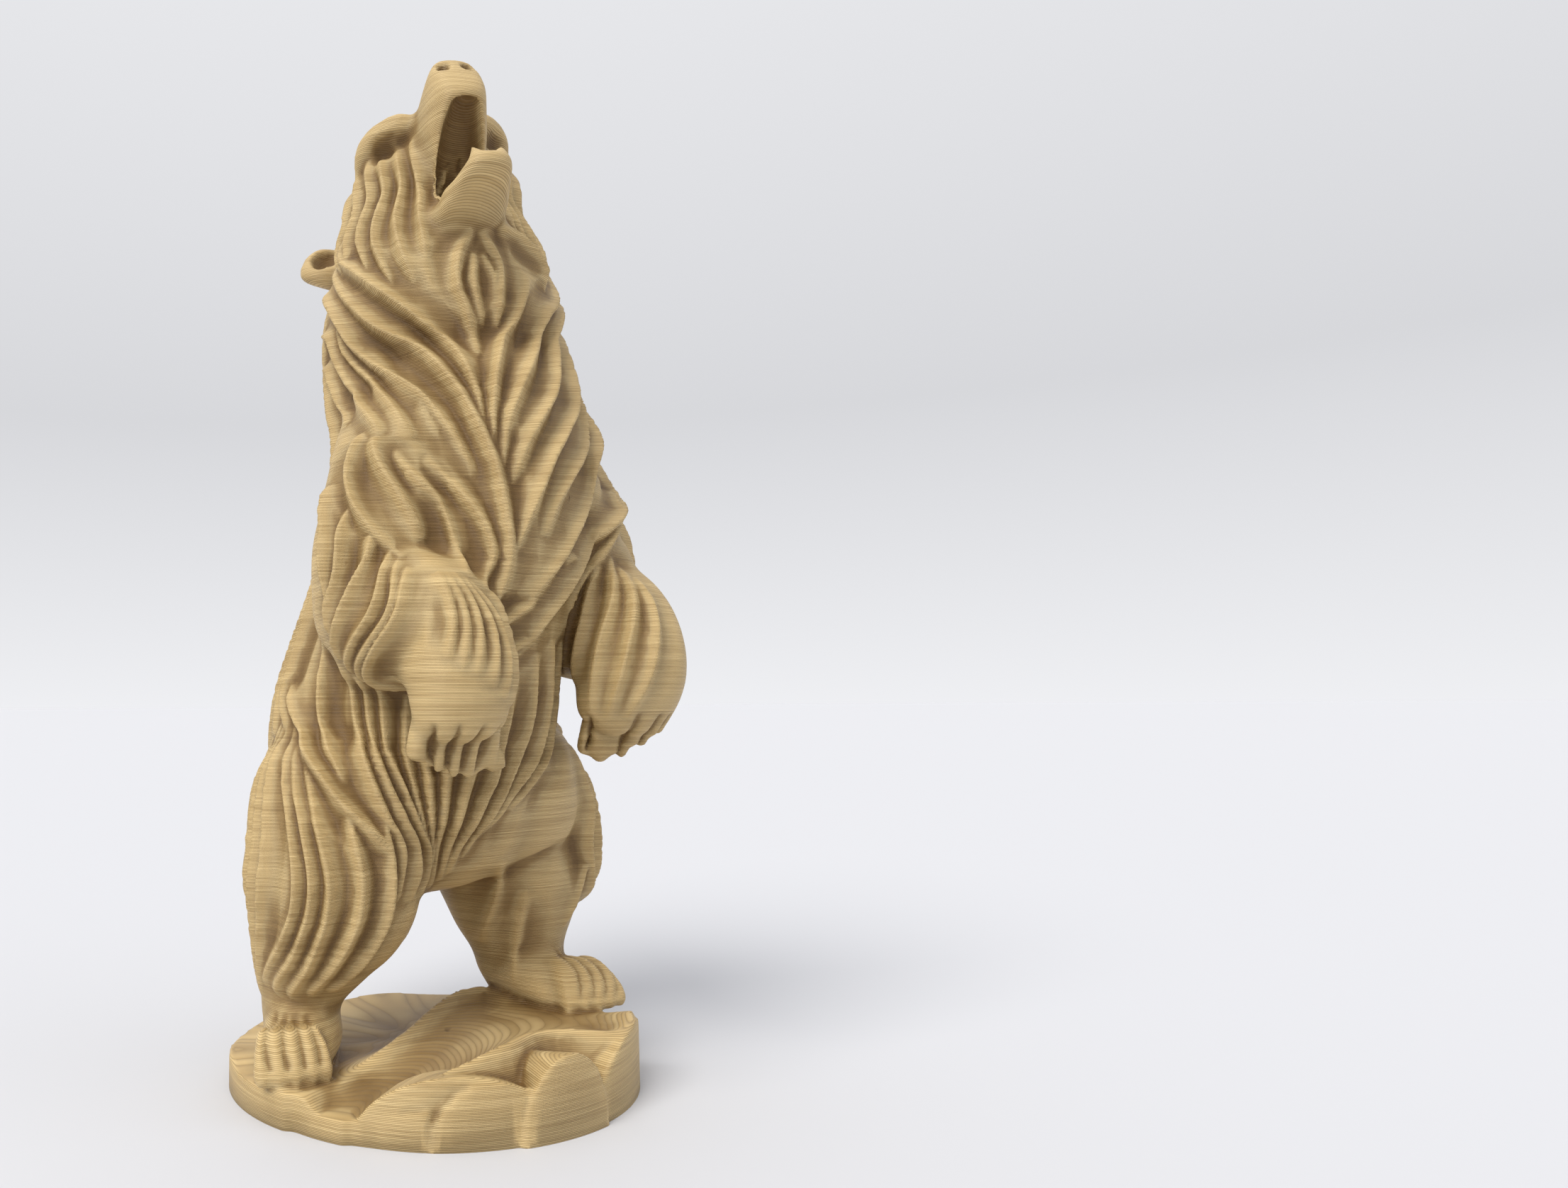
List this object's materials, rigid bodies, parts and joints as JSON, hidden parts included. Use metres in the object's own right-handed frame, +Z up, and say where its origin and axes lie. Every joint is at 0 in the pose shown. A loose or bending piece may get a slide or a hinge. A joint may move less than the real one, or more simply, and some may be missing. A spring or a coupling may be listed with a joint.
{
  "type": "bear statue",
  "caption": "Standing bear with its head raised and mouth open, carved in flowing fur crests, on a low uneven rock",
  "frame": {"origin": "centre of the rock's flat underside, on the plane that the statue stands on", "axes": "+Z up along the standing bear; the bear looks along -Y with its left side at +X"},
  "size_m": [0.0679, 0.0661, 0.1498],
  "materials": {
    "wood_brown_plastic": "matte"
  },
  "bodies": {
    "root": {"bear_statue": "wood_brown_plastic"}
  },
  "joints": []
}
